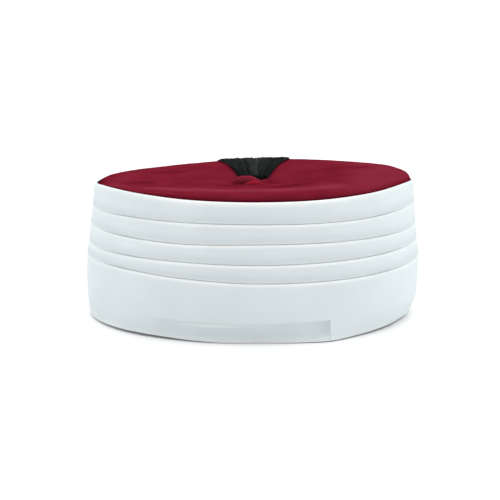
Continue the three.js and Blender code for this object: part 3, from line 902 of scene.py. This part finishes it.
def new_material(name, paint, **constants):
    """A material whose paint function returns the varying inputs of its shader."""
    material = bpy.data.materials.new(name)
    material.use_nodes = True
    finish = Finish(material.node_tree)
    shader = finish.node("ShaderNodeBsdfPrincipled", None, {**constants, **paint(finish)})
    finish.node("ShaderNodeOutputMaterial", None, {"Surface": shader})
    return material


def linear(*screen_values):
    """A colour given in screen values from 0 to 255, as light."""
    shares = [value / 255 for value in screen_values]
    return (*[v / 12.92 if v <= 0.04045 else ((v + 0.055) / 1.055) ** 2.4 for v in shares], 1)


# The colours of the felt, the cloth and the silk.
DARK_WOOL = linear(99, 18, 33)
RED_WOOL = linear(111, 25, 41)
# Painted shade for the felt.
SHADED_WOOL = linear(66, 4, 14)
# Painted highlight for the felt.
HIGHLIGHT_WOOL = linear(145, 58, 78)
# Painted highlight of bright red for the pucker.
LIP_HIGHLIGHT_WOOL = linear(165, 18, 42)
WOOL_FIBRE = linear(142, 44, 62)
CLOUDED_COTTON = linear(214, 223, 225)
WHITE_COTTON = linear(219, 228, 230)
COTTON_BETWEEN_THREADS = linear(200, 209, 212)
SHADED_COTTON = linear(194, 203, 206)
# Painted highlight for the cloth.
HIGHLIGHT_COTTON = linear(248, 251, 250)
BLACK_SILK = linear(6, 9, 7)
GREY_SILK = linear(58, 66, 64)
TWISTED_SILK = linear(48, 58, 54)
THREAD = 0.45  # width of the cotton's threads
WRAP_RADIUS = CROWN_RADIUS + 4  # where the threads are counted


def felt_paint(finish):
    """Dense wool felt: matted fibres and a cloudy dye, with painted shade in its creases and hollows and
    painted highlights where it is paler.
    """
    here = finish.coordinates()
    fibres = finish.noise(here, scale=2600, detail=4, roughness=0.65, distortion=1.2)
    mats = finish.noise(here, scale=620, detail=3, roughness=0.6, distortion=0.6)
    clouds = finish.noise(here, scale=55, detail=3, roughness=0.55)
    # Painted shade where the mark is above 0, painted highlight where it is below 0.
    felt_shade_and_highlight = finish.attribute("felt_shade_and_highlight")
    in_painted_shade = finish.ramp(felt_shade_and_highlight, 0.1, 1.0) * 0.85
    # Painted highlight.
    where_painted_highlight = finish.ramp(felt_shade_and_highlight, -0.1, -1.0) * 0.5
    # The glow mark is a painted highlight on the pucker's lip and ridge.
    where_lip_highlight = finish.attribute("glow") * 0.8
    on_fibres = finish.ramp(fibres, 0.3, 0.75) * 0.3
    dyed = finish.mix(finish.ramp(clouds, 0.35, 0.65), DARK_WOOL, RED_WOOL)
    dyed = finish.mix(in_painted_shade, dyed, SHADED_WOOL)
    dyed = finish.mix(where_painted_highlight, dyed, HIGHLIGHT_WOOL)
    dyed = finish.mix(where_lip_highlight, dyed, LIP_HIGHLIGHT_WOOL)
    dyed = finish.mix(on_fibres, dyed, WOOL_FIBRE)
    nap = finish.bump(mats, 0.35 * MM, 0.6)
    nap = finish.bump(fibres, 0.12 * MM, 0.8, nap)
    return {"Base Color": dyed, "Roughness": 0.86 + fibres * 0.12, "Normal": nap}


def cloth_paint(finish):
    """Closely woven white cotton: a plain weave and soft creases, with painted shade in hollows and painted
    highlights on crests.
    """
    here = finish.coordinates()
    x, y, z = finish.separate(here)
    around = x.math("ARCTAN2", y) * (WRAP_RADIUS * np.pi / THREAD)
    rise = z * (np.pi / (THREAD * MM))
    warp, weft = around.math("SINE"), rise.math("SINE")
    over = finish.ramp(warp * weft, -0.25, 0.25)
    weave = over * warp.math("ABSOLUTE") + (1 - over) * weft.math("ABSOLUTE")
    slubs = finish.noise(finish.combine(x * 0.2, y * 0.2, z), scale=900)
    creases = finish.noise(finish.combine(x * 0.25, y * 0.25, z), scale=90, detail=3, roughness=0.55)
    clouds = finish.noise(here, scale=30)
    colour = finish.mix(finish.ramp(clouds, 0.35, 0.65), CLOUDED_COTTON, WHITE_COTTON)
    between = finish.mix(0.5, colour, COTTON_BETWEEN_THREADS)
    colour = finish.mix(finish.ramp(weave, 0.0, 0.6), between, colour)
    # Painted shade above each crest and on the hem's inner ply.
    colour = finish.mix(finish.attribute("painted_shade") * 0.6, colour, SHADED_COTTON)
    # Painted highlight on crests, in crevices, on the hem's lower edge and along its pressed ridge.
    colour = finish.mix(finish.attribute("painted_highlight") * 0.8, colour, HIGHLIGHT_COTTON)
    cloth = finish.bump(creases, 0.5 * MM, 0.5)
    cloth = finish.bump(weave + slubs * 0.5, 0.05 * MM, 0.7, cloth)
    return {"Base Color": colour, "Roughness": 0.84 + slubs * 0.1, "Normal": cloth}


def silk_paint(finish):
    """Green-black silk whose strands differ a little in tone at random, with a painted sheen across the
    middle of the fan.
    """
    tone = finish.attribute("tone")
    twist = finish.noise(finish.coordinates(), scale=1500)
    colour = finish.mix(tone, BLACK_SILK, GREY_SILK)
    colour = finish.mix(finish.ramp(twist, 0.4, 0.7) * 0.15, colour, TWISTED_SILK)
    normal = finish.bump(twist, 0.06 * MM, 0.5)
    return {"Base Color": colour, "Roughness": 0.38 + twist * 0.2, "Normal": normal}


def floor_paint(finish):
    """Plain white paper."""
    grain = finish.noise(finish.coordinates(), scale=40, detail=4)
    paper = finish.mix(grain, (0.92, 0.92, 0.92, 1), (0.95, 0.95, 0.95, 1))
    return {"Base Color": paper, "Roughness": 0.7 + grain * 0.1}


# Camera, light and floor, in metres.

CAMERA_PLACE = (0, -1.0, 0.21)
CAMERA_TARGET = (-0.00125, 0, 0.0372)
LENS = 116.96
HAT_MIDDLE = (0, 0, 0.05)  # the softboxes face it
SOFTBOX_SIZE = (1.0, 1.0)
SOFTBOXES = [
    dict(name="softbox_left", at=(-1.3, -0.1, 0.5), power=2.2),
    dict(name="softbox_right", at=(1.3, -0.1, 0.5), power=3.6),
]
WALL_GLOW = 0.64
FRONT_LOSS = 0.25
ROOF_GLOW = 0.3
BACKDROP_GLOW = 1.05
CEILING_POWER = 1.8
CEILING_SPREAD = 80  # degrees, as is its tilt
CEILING_TILT = -12
FLOOR_HALF = 4

camera = bpy.data.objects.new("camera", bpy.data.cameras.new("camera"))
camera.data.lens = LENS
camera.location = CAMERA_PLACE
camera.rotation_euler = (Vector(CAMERA_TARGET) - Vector(CAMERA_PLACE)).to_track_quat("-Z", "Y").to_euler()
bpy.context.scene.collection.objects.link(camera)
bpy.context.scene.camera = camera


def add_softbox(name, at, power):
    lamp = bpy.data.lights.new(name, "AREA")
    lamp.shape = "RECTANGLE"
    lamp.size, lamp.size_y = SOFTBOX_SIZE
    lamp.energy = power
    box = bpy.data.objects.new(name, lamp)
    box.location = at
    box.rotation_euler = (Vector(HAT_MIDDLE) - Vector(at)).to_track_quat("-Z", "Y").to_euler()
    bpy.context.scene.collection.objects.link(box)


def light_tent():
    """White walls all round, dimmer in front, between two softboxes and under a wide bright ceiling."""
    world = bpy.data.worlds.new("light_tent")
    bpy.context.scene.world = world
    world.use_nodes = True
    finish = Finish(world.node_tree)
    direction = finish.node("ShaderNodeTexCoord", output="Generated")
    y, z = finish.separate(direction)[1:]
    facing_front = (0 - y).math("MAXIMUM", 0.0)
    glow = WALL_GLOW - facing_front * FRONT_LOSS + z * ROOF_GLOW
    seen = finish.node("ShaderNodeLightPath", output="Is Camera Ray")
    walls = finish.node("ShaderNodeBackground", None, {"Color": (1, 1, 1, 1), "Strength": glow})
    backdrop = finish.node("ShaderNodeBackground", None, {"Color": (1, 1, 1, 1), "Strength": BACKDROP_GLOW})
    both = finish.node("ShaderNodeMixShader", None, {0: seen, 1: walls, 2: backdrop})
    finish.node("ShaderNodeOutputWorld", None, {"Surface": both})
    for softbox in SOFTBOXES:
        add_softbox(**softbox)
    ceiling = bpy.data.lights.new("ceiling", "SUN")
    ceiling.energy = CEILING_POWER
    ceiling.angle = np.radians(CEILING_SPREAD)
    above = bpy.data.objects.new("ceiling", ceiling)
    above.rotation_euler = (np.radians(CEILING_TILT), 0, 0)
    bpy.context.scene.collection.objects.link(above)


def add_floor():
    corners = np.array([[-1, -1, 0], [1, -1, 0], [1, 1, 0], [-1, 1, 0]])
    floor = add_mesh("floor", corners * FLOOR_HALF / MM, [[0, 1, 2, 3]])
    floor.data.materials.append(new_material("pale_floor", floor_paint))


def finish_piece(piece, material, slot, *nodes):
    piece.data.materials.append(material)
    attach(piece, "root")
    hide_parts(*nodes)


bpy.context.scene.view_settings.view_transform = "Standard"
light_tent()
add_floor()

red_felt = new_material("red_felt", felt_paint, **{"Specular IOR Level": 0.0})
white_cloth = new_material("white_cloth", cloth_paint, **{"Specular IOR Level": 0.1})
dark_silk = new_material("dark_silk", silk_paint, **{"Specular IOR Level": 0.002})

cap = make_felt_cap()
finish_piece(cap, red_felt, "red_felt", "felt_cap")

for number, node in enumerate(TURNS):
    cloth = make_turn(number)
    finish_piece(cloth, white_cloth, "white_cloth", node)

for silk in (make_strands(), make_root()):
    finish_piece(silk, dark_silk, "dark_silk", "tassel")
